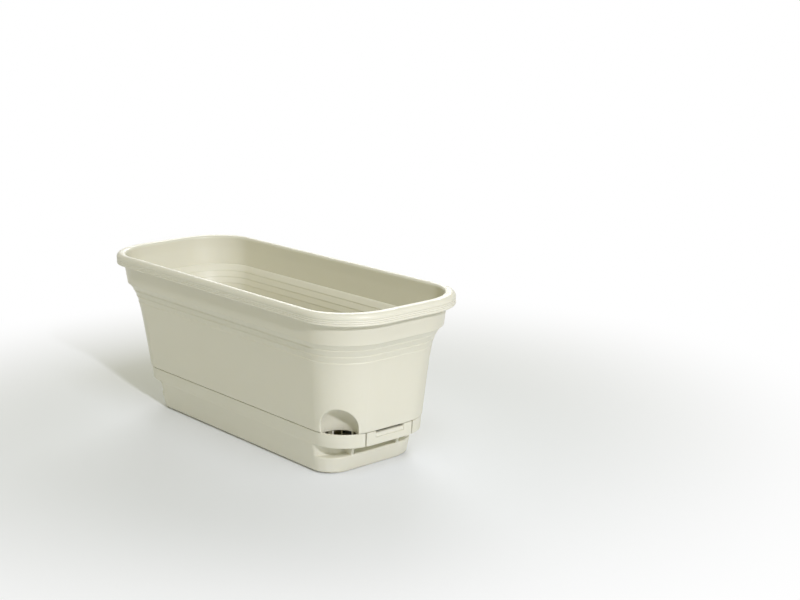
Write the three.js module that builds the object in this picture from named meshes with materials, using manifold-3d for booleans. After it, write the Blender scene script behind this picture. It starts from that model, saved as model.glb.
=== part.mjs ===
// A self-watering window box planter: a flared trough with a rolled rim, clipped onto a water reservoir
// tray by a springy latch tab at each end. Water is poured in through a scooped niche in one corner, and
// a perforated platform inside carries two slotted wick cups that reach down into the water.
//
// Millimetres, +Z up, X along the planter, the origin at the middle of the footprint on the ground.

import * as THREE from "three";
import { mergeVertices } from "three/addons/utils/BufferGeometryUtils.js";
import Module from "manifold-3d";

const wasm = await Module();
wasm.setup();

// ---- Driving dimensions ----------------------------------------------------------------------------

const RIM_LENGTH = 430;
const RIM_WIDTH = 160;
const HEIGHT = 165;
const RIM_CORNER_RADIUS = 54;
const WALL = 2.2;

// The rolled rim: a reeded outer face under a rounded bead, open underneath like a gutter.
const RIM_FACE_HEIGHT = 11;
const RIM_LIP = 2;
const RIM_GUTTER_DEPTH = 7;
const BEAD_RADIUS = 4.4;
const CROWN_ROUND = 2.8;
const REED_COUNT = 3;
const REED_PITCH = 1.7;
const REED_HALF_WIDTH = 0.5;
const REED_DEPTH = 0.4;
const FIRST_REED_ABOVE_EDGE = 1.9;

// The collar under the rim, and three shallow flutes under it, each drawn in down to a narrow ledge.
const COLLAR_TOP = { end: 9, side: 5.2 };
const COLLAR_FOOT = { end: 12.1, side: 6.95 };
const COLLAR_HEIGHT = 19.6;
const COLLAR_STEP_DROP = 0.9;
const FLUTE_COUNT = 3;
const FLUTE_HEIGHT = 6.5;
const FLUTE_DEPTH = 0.55;
const FLUTE_LEDGE = 0.6;

// The body below the flutes: a straight draft down to the joint, swept out at the top by a cove.
const JOINT_INSET = { end: 35.5, side: 20.6 };
const DRAFT = { end: 0.144, side: 0.083 };
const COVE = { end: 9.8, side: 5.66 };
const COVE_DECAY = 10.5;
const JOINT_CORNER_RADIUS = 39;
const JOINT_Z = 44.5;
const BODY_RINGS = 6;

// The locating skirt under the floor, which drops inside the tray.
const FLOOR = 2.5;
const SKIRT_INSET = 4.2;
const SKIRT_DRAFT = 0.8;
const SKIRT_WALL = 2;

// The filler niche: a half-round well with a domed top, let into one rounded corner.
const NICHE_RADIUS = 18;
const NICHE_ANGLE = 49;
const NICHE_SPRING_Z = 50;
const NICHE_WALL_DROP = 1.5;
const NICHE_RIB_WIDTH = 2;
const NICHE_RIB_SPREAD = 28;

// The reservoir tray: a tapered lower body, and a band round its top that overhangs at the ends.
const TRAY_BASE = { length: 301, width: 105, radius: 20 };
const TRAY_DRAFT = { end: 0.3, side: 0.165, radius: 0.25 };
const TRAY_WALL = 2;
const TRAY_FLOOR = 2.2;
const BASE_EDGE = 1.6;
const FOOT_WIDTH = 7;
const FOOT_HEIGHT = 1;
const BAND_FOOT_Z = 30.4;
const BAND_TOP_GAP = 0.6;
const BAND_SETBACK = 0.7;
const BAND_TAPER = 1.4;
const BAND_WALL = 2.2;
const BAND_EDGE = 0.4;
const FLANGE = 2;
const SHOULDER_Z = 17.5;
const POCKET_BACK = 147;
const POCKET_RIB_Y = 27;
const POCKET_RIB_WIDTH = 2.8;

// The latch tabs, cut out of the band at each end.
const TAB_WIDTH = 53;
const SLIT = 1.6;
const NOTCH_WIDTH = 33;
const NOTCH_DROP = 1.6;
const NOTCH_BEVEL = 2.6;
const NOTCH_BEVEL_DEPTH = 1.5;
const CATCH_WIDTH = 26;
const CATCH_HEIGHT = 3;
const CATCH_DEPTH = 0.6;
const CATCH_Z = 40;
const LUG_Z = 36;
const LUG_DEPTH = 0.6;

// The soil platform and its wick cups.
const PLATFORM_THICKNESS = 2.2;
const PLATFORM_GAP = 1.6;
const LEG_HEIGHT = 6;
const LEG_RADIUS = 3.5;
const LEG_X = [30, 128];
const LEG_Y = 34;
const EDGE_MARGIN = 2;
const CUP_X = 78;
const CUP_TOP_RADIUS = 25;
const CUP_FOOT_RADIUS = 17;
const CUP_WALL = 1.8;
const CUP_FLANGE = 4;
const CUP_FLANGE_THICKNESS = 2;
const CUP_FOOT_Z = 5.5;
const CUP_SLOTS = 8;
const CUP_SLOT_WIDTH = 3.5;
const CUP_SLOT_LOW = 3;
const CUP_SLOT_HEIGHT = 24;
const CUP_CLEARANCE = 1.2;
const PLATFORM_SLOT = { length: 15, width: 3.6, pitchX: 23, pitchY: 12 };
const SLOT_MARGIN = 3;
const DRAIN_SLOT = { length: 24, width: 5, pitchX: 46, y: 38, eachWay: 3 };

// The gap between pieces that seat on each other, and how far a cut runs past the face it opens.
const SEAT_GAP = 0.3;
const PAST = 1;
const CORNER_STEPS = 8;
const ROUND_STEPS = 32;

// ---- Sizes that follow -----------------------------------------------------------------------------

const RIM_FOOT_Z = HEIGHT - RIM_FACE_HEIGHT;
const COLLAR_FOOT_Z = RIM_FOOT_Z - COLLAR_HEIGHT;
const FLUTE_TOP_Z = COLLAR_FOOT_Z - COLLAR_STEP_DROP;
const FLUTE_FOOT_Z = FLUTE_TOP_Z - FLUTE_COUNT * FLUTE_HEIGHT;
const FLOOR_TOP_Z = JOINT_Z + FLOOR;
const BAND_TOP_Z = JOINT_Z - BAND_TOP_GAP;
const FLANGE_TOP_Z = BAND_FOOT_Z + FLANGE;
const SKIRT_FOOT_Z = FLANGE_TOP_Z + SEAT_GAP;
const PLATFORM_Z = FLOOR_TOP_Z + SEAT_GAP + LEG_HEIGHT;
const PLATFORM_TOP_Z = PLATFORM_Z + PLATFORM_THICKNESS;
const CUP_FLANGE_Z = PLATFORM_TOP_Z + SEAT_GAP;
const BEYOND = 30;

// ---- Outlines, lofts and booleans ------------------------------------------------------------------

// A rounded rectangle in a level plane, anticlockwise seen from above.
function outline(halfLength, halfWidth, radius, z) {
  const points = [];
  for (let quadrant = 0; quadrant < 4; quadrant++) {
    const cx = (quadrant % 3 === 0 ? 1 : -1) * (halfLength - radius);
    const cy = (quadrant < 2 ? 1 : -1) * (halfWidth - radius);
    for (let step = 0; step <= CORNER_STEPS; step++) {
      const angle = ((quadrant + step / CORNER_STEPS) * Math.PI) / 2;
      points.push(new THREE.Vector3(cx + radius * Math.cos(angle), cy + radius * Math.sin(angle), z));
    }
  }
  return points;
}

// A closed solid through a stack of outlines, capped at both ends.
function loft(outlines) {
  const around = outlines[0].length;
  const vertices = outlines.flat();
  const index = [];
  for (let ring = 0; ring < outlines.length - 1; ring++) {
    for (let i = 0; i < around; i++) {
      const j = (i + 1) % around;
      const low = ring * around;
      const high = low + around;
      index.push(low + i, low + j, high + j, low + i, high + j, high + i);
    }
  }
  const last = (outlines.length - 1) * around;
  for (const [first, turn] of [[0, true], [last, false]]) {
    const middle = vertices.length;
    vertices.push(new THREE.Vector3(0, 0, vertices[first].z));
    for (let i = 0; i < around; i++) {
      const j = (i + 1) % around;
      index.push(middle, first + (turn ? j : i), first + (turn ? i : j));
    }
  }
  const geometry = new THREE.BufferGeometry().setFromPoints(vertices);
  geometry.setIndex(index);
  return geometry;
}

// A three.js geometry as a solid that can be cut and joined.
function solid(geometry) {
  const bare = geometry.clone();
  bare.deleteAttribute("normal");
  bare.deleteAttribute("uv");
  const merged = mergeVertices(bare, 1e-4);
  const kept = [];
  for (let i = 0; i < merged.index.count; i += 3) {
    const [a, b, c] = [0, 1, 2].map((k) => merged.index.getX(i + k));
    if (a !== b && b !== c && c !== a) kept.push(a, b, c);
  }
  return new wasm.Manifold(
    new wasm.Mesh({
      numProp: 3,
      vertProperties: new Float32Array(merged.attributes.position.array),
      triVerts: new Uint32Array(kept),
    }),
  );
}

// A solid back as a flat-shaded geometry.
function geometryOf(body) {
  const mesh = body.getMesh();
  const geometry = new THREE.BufferGeometry();
  geometry.setAttribute("position", new THREE.BufferAttribute(mesh.vertProperties, 3));
  geometry.setIndex(new THREE.BufferAttribute(mesh.triVerts, 1));
  const faceted = geometry.toNonIndexed();
  faceted.computeVertexNormals();
  return faceted;
}

// A box between two corners.
function block(low, high) {
  const size = high.map((value, axis) => value - low[axis]);
  const middle = high.map((value, axis) => (value + low[axis]) / 2);
  return solid(new THREE.BoxGeometry(...size).translate(...middle));
}

// A profile of [radius, z] points turned about a vertical axis at (x, y).
function turned(profile, x, y, steps = ROUND_STEPS) {
  const points = profile.map(([radius, z]) => new THREE.Vector2(radius, z));
  return solid(new THREE.LatheGeometry(points, steps).rotateX(Math.PI / 2).translate(x, y, 0));
}

function cylinder(radius, low, high, x, y, steps = ROUND_STEPS) {
  return turned([[0, low], [radius, low], [radius, high], [0, high]], x, y, steps);
}

// A prism along Y from a profile of [x, z] points, centred on y = 0.
function prism(profile, width) {
  const shape = new THREE.Shape(profile.map(([x, z]) => new THREE.Vector2(x, z)));
  const geometry = new THREE.ExtrudeGeometry(shape, { depth: width, bevelEnabled: false });
  return solid(geometry.rotateX(Math.PI / 2).translate(0, width / 2, 0));
}

// ---- The planter box -------------------------------------------------------------------------------

// The outline of the box at a height, from its inset at the ends and sides and a further even offset.
function boxOutline(inset, offset, z) {
  const radiusLoss = ((RIM_CORNER_RADIUS - JOINT_CORNER_RADIUS) * inset.end) / JOINT_INSET.end;
  return outline(
    RIM_LENGTH / 2 - inset.end - offset,
    RIM_WIDTH / 2 - inset.side - offset,
    RIM_CORNER_RADIUS - radiusLoss - offset,
    z,
  );
}

// The inset of the body's outer face at a height between the joint and the collar.
function bodyInset(z) {
  const cove = Math.exp((z - FLUTE_TOP_Z) / COVE_DECAY);
  return {
    end: JOINT_INSET.end - DRAFT.end * (z - JOINT_Z) - COVE.end * cove,
    side: JOINT_INSET.side - DRAFT.side * (z - JOINT_Z) - COVE.side * cove,
  };
}

const NO_INSET = { end: 0, side: 0 };

// The wall's face from the joint up to the rim's gutter: [inset, extra offset, z].
function wallFace() {
  const rows = [];
  for (let ring = 0; ring < BODY_RINGS; ring++) {
    const z = JOINT_Z + ((FLUTE_FOOT_Z - JOINT_Z) * ring) / BODY_RINGS;
    rows.push([bodyInset(z), 0, z]);
  }
  for (let flute = 0; flute < FLUTE_COUNT; flute++) {
    const foot = FLUTE_FOOT_Z + flute * FLUTE_HEIGHT;
    rows.push([bodyInset(foot), 0, foot]);
    rows.push([bodyInset(foot + FLUTE_LEDGE), FLUTE_DEPTH, foot + FLUTE_LEDGE]);
  }
  rows.push([bodyInset(FLUTE_TOP_Z), 0, FLUTE_TOP_Z]);
  rows.push([COLLAR_FOOT, 0, COLLAR_FOOT_Z]);
  rows.push([COLLAR_TOP, 0, RIM_FOOT_Z]);
  return rows;
}

function boxOuter() {
  const gutterTop = RIM_FOOT_Z + RIM_GUTTER_DEPTH;
  const rows = wallFace();
  rows.push([COLLAR_TOP, 0, gutterTop]);
  rows.push([NO_INSET, RIM_LIP, gutterTop]);
  rows.push([NO_INSET, RIM_LIP, RIM_FOOT_Z]);
  rows.push([NO_INSET, REED_DEPTH, RIM_FOOT_Z]);
  rows.push([NO_INSET, 0, RIM_FOOT_Z + REED_DEPTH]);
  for (let reed = 0; reed < REED_COUNT; reed++) {
    const z = RIM_FOOT_Z + FIRST_REED_ABOVE_EDGE + reed * REED_PITCH;
    rows.push([NO_INSET, 0, z - REED_HALF_WIDTH]);
    rows.push([NO_INSET, REED_DEPTH, z]);
    rows.push([NO_INSET, 0, z + REED_HALF_WIDTH]);
  }
  const beadSteps = 4;
  for (let step = 0; step <= beadSteps; step++) {
    const angle = ((step / beadSteps) * Math.PI) / 2;
    const offset = BEAD_RADIUS * (1 - Math.cos(angle));
    rows.push([NO_INSET, offset, HEIGHT - BEAD_RADIUS * (1 - Math.sin(angle))]);
  }
  return solid(loft(rows.map((row) => boxOutline(...row))));
}

// The space inside the box, which also rounds off the inner side of the rim's crown.
function boxInner() {
  const rows = wallFace();
  rows[0][2] = FLOOR_TOP_Z;
  const inside = rows.map(([inset, offset, z]) => [inset, offset + WALL, z]);
  const crownSteps = 3;
  for (let step = 0; step <= crownSteps; step++) {
    const angle = ((step / crownSteps) * Math.PI) / 2;
    const offset = WALL - CROWN_ROUND * (1 - Math.cos(angle));
    inside.push([COLLAR_TOP, offset, HEIGHT - CROWN_ROUND * (1 - Math.sin(angle))]);
  }
  inside.push([COLLAR_TOP, WALL - CROWN_ROUND, HEIGHT + BEYOND]);
  return solid(loft(inside.map((row) => boxOutline(...row))));
}

// The niche's axis stands on the box's rounded corner, part of the way round it.
const NICHE_TURN = THREE.MathUtils.degToRad(NICHE_ANGLE);
const NICHE_X = RIM_LENGTH / 2 - JOINT_INSET.end - JOINT_CORNER_RADIUS * (1 - Math.cos(NICHE_TURN));
const NICHE_Y = -(RIM_WIDTH / 2 - JOINT_INSET.side - JOINT_CORNER_RADIUS * (1 - Math.sin(NICHE_TURN)));

// A domed well about the niche's axis, open below.
function nicheWell(radius, low) {
  const domeSteps = 7;
  const profile = [[0, low], [radius, low]];
  for (let step = 0; step < domeSteps; step++) {
    const angle = ((step / domeSteps) * Math.PI) / 2;
    profile.push([radius * Math.cos(angle), NICHE_SPRING_Z + radius * Math.sin(angle)]);
  }
  profile.push([0, NICHE_SPRING_Z + radius]);
  return turned(profile, NICHE_X, NICHE_Y);
}

// Two small ribs under the niche's back edge, seen through the filler opening.
function nicheRibs() {
  const reach = NICHE_RADIUS + NICHE_RIB_WIDTH;
  const half = NICHE_RIB_WIDTH / 2;
  return [-1, 1].map((side) => {
    const angle = THREE.MathUtils.degToRad(180 - NICHE_ANGLE + side * NICHE_RIB_SPREAD);
    const x = NICHE_X + reach * Math.cos(angle);
    const y = NICHE_Y + reach * Math.sin(angle);
    return block([x - half, y - half, SKIRT_FOOT_Z], [x + half, y + half, FLOOR_TOP_Z - FLOOR / 2]);
  });
}

// The niche's back wall, carried a little way below the floor.
function nicheDrop() {
  const low = JOINT_Z - NICHE_WALL_DROP;
  const wall = cylinder(NICHE_RADIUS + WALL, low, JOINT_Z + FLOOR / 2, NICHE_X, NICHE_Y);
  const bottom = boxOutline(JOINT_INSET, SKIRT_INSET, low - PAST);
  const top = boxOutline(JOINT_INSET, SKIRT_INSET, FLOOR_TOP_Z);
  return wall.intersect(solid(loft([bottom, top])));
}

function skirtRing() {
  const outer = loft([
    boxOutline(JOINT_INSET, SKIRT_INSET + SKIRT_DRAFT, SKIRT_FOOT_Z),
    boxOutline(JOINT_INSET, SKIRT_INSET, JOINT_Z + FLOOR / 2),
  ]);
  const inner = loft([
    boxOutline(JOINT_INSET, SKIRT_INSET + SKIRT_DRAFT + SKIRT_WALL, SKIRT_FOOT_Z - BEYOND),
    boxOutline(JOINT_INSET, SKIRT_INSET + SKIRT_DRAFT + SKIRT_WALL, JOINT_Z + FLOOR / 4),
  ]);
  return solid(outer).subtract(solid(inner));
}

// The ramped lug on the skirt at each end, under the latch tab's catch.
function skirtLug(end) {
  const root = RIM_LENGTH / 2 - JOINT_INSET.end - SKIRT_INSET - SKIRT_DRAFT - SKIRT_WALL / 2;
  const face = root + SKIRT_WALL / 2 + LUG_DEPTH + SKIRT_DRAFT / 4;
  const profile = [
    [root, LUG_Z - CATCH_HEIGHT / 2],
    [root + SKIRT_WALL / 2, LUG_Z - CATCH_HEIGHT / 2],
    [face, LUG_Z],
    [face, LUG_Z + CATCH_HEIGHT / 4],
    [root, LUG_Z + CATCH_HEIGHT / 2],
  ];
  const lug = prism(profile, CATCH_WIDTH);
  return end > 0 ? lug : lug.rotate([0, 0, 180]);
}

// Slots in the box's floor that let water drain and air in, and the two holes for the wick cups.
function floorHoles() {
  const low = JOINT_Z - PAST;
  const high = FLOOR_TOP_Z + PAST;
  const holes = [];
  for (const end of [-1, 1]) {
    holes.push(cylinder(CUP_TOP_RADIUS + CUP_CLEARANCE, low, high, end * CUP_X, 0));
  }
  for (let column = -DRAIN_SLOT.eachWay; column <= DRAIN_SLOT.eachWay; column++) {
    for (const side of [-1, 1]) {
      const x = column * DRAIN_SLOT.pitchX;
      const y = side * DRAIN_SLOT.y;
      if (column === DRAIN_SLOT.eachWay && side < 0) continue; // the niche takes this corner
      const half = [DRAIN_SLOT.length / 2, DRAIN_SLOT.width / 2];
      holes.push(block([x - half[0], y - half[1], low], [x + half[0], y + half[1], high]));
    }
  }
  return holes;
}

function planterBox() {
  const inner = boxInner().subtract(nicheWell(NICHE_RADIUS + WALL, FLOOR_TOP_Z - FLOOR));
  let box = boxOuter().subtract(inner);
  box = box.add(skirtRing()).add(nicheDrop());
  box = box.subtract(nicheWell(NICHE_RADIUS, SKIRT_FOOT_Z - PAST));
  for (const end of [-1, 1]) box = box.add(skirtLug(end));
  for (const rib of nicheRibs()) box = box.add(rib);
  for (const hole of floorHoles()) box = box.subtract(hole);
  return box;
}

// ---- The reservoir tray and its latch tabs ---------------------------------------------------------

// The lower body, flared from its base. An end limit cuts the outline shorter.
function trayOutline(offset, z, endLimit = Infinity) {
  const halfLength = Math.min(TRAY_BASE.length / 2 + TRAY_DRAFT.end * z, endLimit);
  const halfWidth = TRAY_BASE.width / 2 + TRAY_DRAFT.side * z;
  const radius = TRAY_BASE.radius + TRAY_DRAFT.radius * z;
  return outline(halfLength - offset, halfWidth - offset, radius - offset, z);
}

// The band's outer face lies under the box's joint line and tapers in a little on its way down.
function bandOutline(offset, z) {
  const taper = (BAND_TAPER * (BAND_TOP_Z - z)) / (BAND_TOP_Z - BAND_FOOT_Z);
  return boxOutline(JOINT_INSET, BAND_SETBACK + taper + offset, z);
}

function bandOuter() {
  return solid(
    loft([
      bandOutline(BAND_EDGE, BAND_FOOT_Z),
      bandOutline(0, BAND_FOOT_Z + BAND_EDGE),
      bandOutline(0, BAND_TOP_Z - BAND_EDGE),
      bandOutline(BAND_EDGE, BAND_TOP_Z),
    ]),
  );
}

function bandInner(low, offset = BAND_WALL) {
  return solid(loft([bandOutline(offset, low), bandOutline(offset, BAND_TOP_Z + PAST)]));
}

// The lower body, with a pocket under the band at each end that two ribs divide in three.
function lowerBody() {
  const top = BAND_FOOT_Z + FLANGE / 2;
  const body = solid(loft([trayOutline(BASE_EDGE, 0), trayOutline(0, BASE_EDGE), trayOutline(0, top)]));
  const low = SHOULDER_Z - PAST;
  const high = top + PAST;
  let kept = block([-RIM_LENGTH, -RIM_WIDTH, -PAST], [RIM_LENGTH, RIM_WIDTH, SHOULDER_Z]);
  kept = kept.add(block([-POCKET_BACK, -RIM_WIDTH, low], [POCKET_BACK, RIM_WIDTH, high]));
  for (const side of [-1, 1]) {
    const y = side * POCKET_RIB_Y;
    const half = POCKET_RIB_WIDTH / 2;
    kept = kept.add(block([-RIM_LENGTH, y - half, low], [RIM_LENGTH, y + half, high]));
  }
  return body.intersect(kept);
}

// The water space: it follows the lower body, and steps in behind the pockets at the ends.
function waterSpace() {
  const shelf = SHOULDER_Z - TRAY_WALL;
  return solid(
    loft([
      trayOutline(TRAY_WALL, TRAY_FLOOR + FOOT_HEIGHT),
      trayOutline(TRAY_WALL, shelf),
      trayOutline(TRAY_WALL, shelf, POCKET_BACK),
      trayOutline(TRAY_WALL, FLANGE_TOP_Z + PAST, POCKET_BACK),
    ]),
  );
}

// The hollow inside the foot ring that the tray stands on.
function footHollow() {
  const inset = BASE_EDGE + FOOT_WIDTH;
  return solid(loft([trayOutline(inset, -PAST), trayOutline(inset, FOOT_HEIGHT)]));
}

// The part of the band's ring at one end, within a half-width of the middle and outside an offset line.
function bandEnd(end, halfWidth, offset) {
  const far = end * RIM_LENGTH;
  const low = [Math.min(0, far), -halfWidth, BAND_FOOT_Z - PAST / 2];
  const high = [Math.max(0, far), halfWidth, BAND_TOP_Z + PAST / 2];
  return block(low, high).subtract(bandInner(BAND_FOOT_Z - PAST, offset));
}

function reservoirTray() {
  let tray = lowerBody().add(bandOuter());
  tray = tray.subtract(waterSpace()).subtract(bandInner(FLANGE_TOP_Z)).subtract(footHollow());
  for (const end of [-1, 1]) {
    tray = tray.subtract(bandEnd(end, TAB_WIDTH / 2 + SLIT, BAND_WALL + SEAT_GAP));
  }
  return tray;
}

// A latch tab: a piece of the band with a bevelled release notch on top and a catch on its inner face.
function latchTab(end) {
  const tab = bandOuter().intersect(bandEnd(end, TAB_WIDTH / 2, BAND_WALL));
  const outer = RIM_LENGTH / 2 - JOINT_INSET.end - BAND_SETBACK;
  const notchZ = BAND_TOP_Z - NOTCH_DROP;
  let notch = prism(
    [
      [outer + PAST, notchZ - NOTCH_BEVEL],
      [outer, notchZ - NOTCH_BEVEL],
      [outer - NOTCH_BEVEL_DEPTH, notchZ],
      [outer - BEYOND, notchZ],
      [outer - BEYOND, BAND_TOP_Z + PAST],
      [outer + PAST, BAND_TOP_Z + PAST],
    ],
    NOTCH_WIDTH,
  );
  const wallHere = BAND_WALL + (BAND_TAPER * (BAND_TOP_Z - CATCH_Z)) / (BAND_TOP_Z - BAND_FOOT_Z);
  const innerFace = outer - wallHere;
  let bead = prism(
    [
      [innerFace + BAND_WALL / 2, CATCH_Z - CATCH_HEIGHT / 2],
      [innerFace + BAND_WALL / 2, CATCH_Z + CATCH_HEIGHT / 2],
      [innerFace, CATCH_Z + CATCH_HEIGHT / 2],
      [innerFace - CATCH_DEPTH, CATCH_Z],
      [innerFace - CATCH_DEPTH, CATCH_Z - CATCH_HEIGHT / 4],
      [innerFace, CATCH_Z - CATCH_HEIGHT / 2],
    ],
    CATCH_WIDTH,
  );
  if (end < 0) {
    notch = notch.rotate([0, 0, 180]);
    bead = bead.rotate([0, 0, 180]);
  }
  return tab.subtract(notch).add(bead);
}

// ---- The soil platform and wick cups ---------------------------------------------------------------

function soilPlatform() {
  const edge = (z) => boxOutline(bodyInset(PLATFORM_Z), WALL + PLATFORM_GAP, z);
  let plate = solid(loft([edge(PLATFORM_Z), edge(PLATFORM_TOP_Z)]));
  for (const x of LEG_X) {
    for (const end of [-1, 1]) {
      for (const side of [-1, 1]) {
        const foot = FLOOR_TOP_Z + SEAT_GAP;
        const head = PLATFORM_Z + PLATFORM_THICKNESS / 2;
        plate = plate.add(cylinder(LEG_RADIUS, foot, head, end * x, side * LEG_Y, 10));
      }
    }
  }
  plate = plate.subtract(throughPlate(NICHE_RADIUS + WALL + PLATFORM_GAP, NICHE_X, NICHE_Y));
  for (const end of [-1, 1]) {
    plate = plate.subtract(throughPlate(CUP_TOP_RADIUS + CUP_CLEARANCE, end * CUP_X, 0));
  }
  return perforated(plate);
}

function throughPlate(radius, x, y) {
  return cylinder(radius, PLATFORM_Z - PAST, PLATFORM_TOP_Z + PAST, x, y);
}

// A field of slots, left out where the cups, the legs, the niche or the edge need the material.
function perforated(plate) {
  const { length, width, pitchX, pitchY } = PLATFORM_SLOT;
  const columns = Math.floor((RIM_LENGTH / 2 - JOINT_INSET.end - length) / pitchX);
  const rows = Math.floor((RIM_WIDTH / 2 - JOINT_INSET.side - 2 * width) / pitchY);
  for (let column = -columns; column <= columns; column++) {
    for (let row = -rows; row <= rows; row++) {
      const x = column * pitchX;
      const y = row * pitchY;
      if (!slotFits(x, y)) continue;
      const low = [x - length / 2, y - width / 2, PLATFORM_Z - PAST];
      const high = [x + length / 2, y + width / 2, PLATFORM_TOP_Z + PAST];
      plate = plate.subtract(block(low, high));
    }
  }
  return plate;
}

function slotFits(x, y) {
  const half = PLATFORM_SLOT.length / 2;
  const clearOf = (cx, cy, radius) => Math.hypot(Math.max(0, Math.abs(x - cx) - half), y - cy) > radius;
  const clearOfCups = [-1, 1].every((end) => {
    return clearOf(end * CUP_X, 0, CUP_TOP_RADIUS + CUP_FLANGE + SLOT_MARGIN);
  });
  const clearOfLegs = LEG_X.every((leg) => {
    return [-leg, leg].every((cx) => clearOf(cx, Math.sign(y) * LEG_Y, LEG_RADIUS + EDGE_MARGIN));
  });
  const clearOfNiche = clearOf(NICHE_X, NICHE_Y, NICHE_RADIUS + WALL + PLATFORM_GAP + SLOT_MARGIN);
  const straightX = RIM_LENGTH / 2 - JOINT_INSET.end - JOINT_CORNER_RADIUS;
  const straightY = RIM_WIDTH / 2 - JOINT_INSET.side - JOINT_CORNER_RADIUS;
  const corner = Math.hypot(
    Math.max(0, Math.abs(x) + half + EDGE_MARGIN - straightX),
    Math.max(0, Math.abs(y) - straightY),
  );
  const insideEdge = corner < JOINT_CORNER_RADIUS - WALL - PLATFORM_GAP - EDGE_MARGIN;
  return clearOfCups && clearOfLegs && clearOfNiche && insideEdge;
}

// A tapered cup with slotted sides, hung in the platform by its flange.
function wickCup(end) {
  const top = CUP_FLANGE_Z + CUP_FLANGE_THICKNESS;
  const x = end * CUP_X;
  const outer = [
    [0, CUP_FOOT_Z],
    [CUP_FOOT_RADIUS, CUP_FOOT_Z],
    [CUP_TOP_RADIUS, CUP_FLANGE_Z],
    [CUP_TOP_RADIUS + CUP_FLANGE, CUP_FLANGE_Z],
    [CUP_TOP_RADIUS + CUP_FLANGE, top],
    [CUP_TOP_RADIUS - CUP_WALL, top],
    [CUP_FOOT_RADIUS - CUP_WALL, CUP_FOOT_Z + CUP_WALL],
    [0, CUP_FOOT_Z + CUP_WALL],
  ];
  let cup = turned(outer, x, 0);
  for (let slot = 0; slot < CUP_SLOTS / 2; slot++) {
    const low = CUP_FOOT_Z + CUP_SLOT_LOW;
    const half = CUP_SLOT_WIDTH / 2;
    const cut = new THREE.BoxGeometry(CUP_TOP_RADIUS * 3, 2 * half, CUP_SLOT_HEIGHT);
    cut.translate(0, 0, low + CUP_SLOT_HEIGHT / 2);
    cut.rotateZ(((slot + 0.5) * 2 * Math.PI) / CUP_SLOTS).translate(x, 0, 0);
    cup = cup.subtract(solid(cut));
  }
  return cup;
}

// ---- The assembly ----------------------------------------------------------------------------------

const CREAM = 0xe6e3d6;

const planter = new THREE.Group();

function addPart(name, body) {
  const cream = new THREE.MeshStandardMaterial({ color: CREAM, roughness: 0.5, metalness: 0 });
  const mesh = new THREE.Mesh(geometryOf(body), cream);
  mesh.name = name;
  planter.add(mesh);
}

addPart("planter_box", planterBox());
addPart("reservoir_tray", reservoirTray());
addPart("latch_tab_right", latchTab(1));
addPart("latch_tab_left", latchTab(-1));
addPart("soil_platform", soilPlatform());
addPart("wick_cup_right", wickCup(1));
addPart("wick_cup_left", wickCup(-1));

export default planter;
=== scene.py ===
"""The looks of a self-watering window box planter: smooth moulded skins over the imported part."""

import math

import bmesh
import bpy
from mathutils import Matrix, Vector


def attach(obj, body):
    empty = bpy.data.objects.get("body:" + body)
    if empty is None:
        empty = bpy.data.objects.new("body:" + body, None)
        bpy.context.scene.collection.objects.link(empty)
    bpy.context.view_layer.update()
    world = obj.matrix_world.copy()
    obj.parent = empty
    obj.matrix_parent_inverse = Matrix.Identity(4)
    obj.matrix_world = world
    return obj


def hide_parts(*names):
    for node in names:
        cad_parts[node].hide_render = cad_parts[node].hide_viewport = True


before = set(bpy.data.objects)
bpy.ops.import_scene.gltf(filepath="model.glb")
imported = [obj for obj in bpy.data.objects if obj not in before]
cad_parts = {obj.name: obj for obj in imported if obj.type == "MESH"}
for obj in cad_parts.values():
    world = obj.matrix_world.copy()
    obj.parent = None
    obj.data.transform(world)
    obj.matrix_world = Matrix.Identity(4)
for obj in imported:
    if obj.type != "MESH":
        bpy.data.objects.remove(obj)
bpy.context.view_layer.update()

MM = 0.001

# ---- Sizes of the part, in millimetres ---------------------------------------------------------

RIM_HALF_LENGTH = 215.0
RIM_HALF_WIDTH = 80.0
HEIGHT = 165.0
RIM_RADIUS = 54.0
WALL = 2.2

RIM_FOOT_Z = 154.0
RIM_LIP = 2.0
RIM_EDGE = 0.7
GUTTER_TOP_Z = 161.0
GUTTER_ROUND = 0.8
BEAD_RADIUS = 4.4
CROWN_ROUND = 2.8
REED_ZS = (155.9, 157.6, 159.3)
REED_HALF_WIDTH = 0.62
REED_DEPTH = 0.3

# How far the collar stands in from the rim, as (at the ends, at the long sides).
COLLAR_TOP = (9.0, 5.2)
COLLAR_FOOT = (12.1, 6.95)
COLLAR_FOOT_Z = 134.4
FLUTE_TOP_Z = 133.5
FLUTE_HEIGHT = 6.5
FLUTE_COUNT = 3
FLUTE_DEPTH = 0.55
FLUTE_LEDGE = 0.6
FLUTE_FOOT_Z = FLUTE_TOP_Z - FLUTE_COUNT * FLUTE_HEIGHT
# A flute's ledge, as (height, depth) in parts of FLUTE_LEDGE and FLUTE_DEPTH.
LEDGE_ROWS = ((-0.4, 0), (-0.1, 0.03), (0.1, 0.12), (0.85, 0.88), (1.1, 0.98), (1.5, 0.98))
# The collar's lower edge, as (share of the step out, share of the way up).
COLLAR_EDGE = ((0, 0), (0.1, 0.04), (0.5, 0.1), (0.85, 0.2), (0.97, 0.4), (1, 0.75))

# The wall's inset at the joint, its draft and its cove, as (at the ends, at the long sides).
JOINT_INSET = (35.5, 20.6)
DRAFT = (0.144, 0.083)
COVE = (9.8, 5.66)
COVE_DECAY = 10.5
JOINT_RADIUS = 39.0
JOINT_Z = 44.5
FLOOR_TOP_Z = 47.0
# The drain slots: their spacing along x, how far they are from the middle, and their shape.
DRAIN_PITCH = 46.0
DRAIN_Y = 38.0
DRAIN_REACH = 9.5
DRAIN_RADIUS = 2.5

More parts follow.
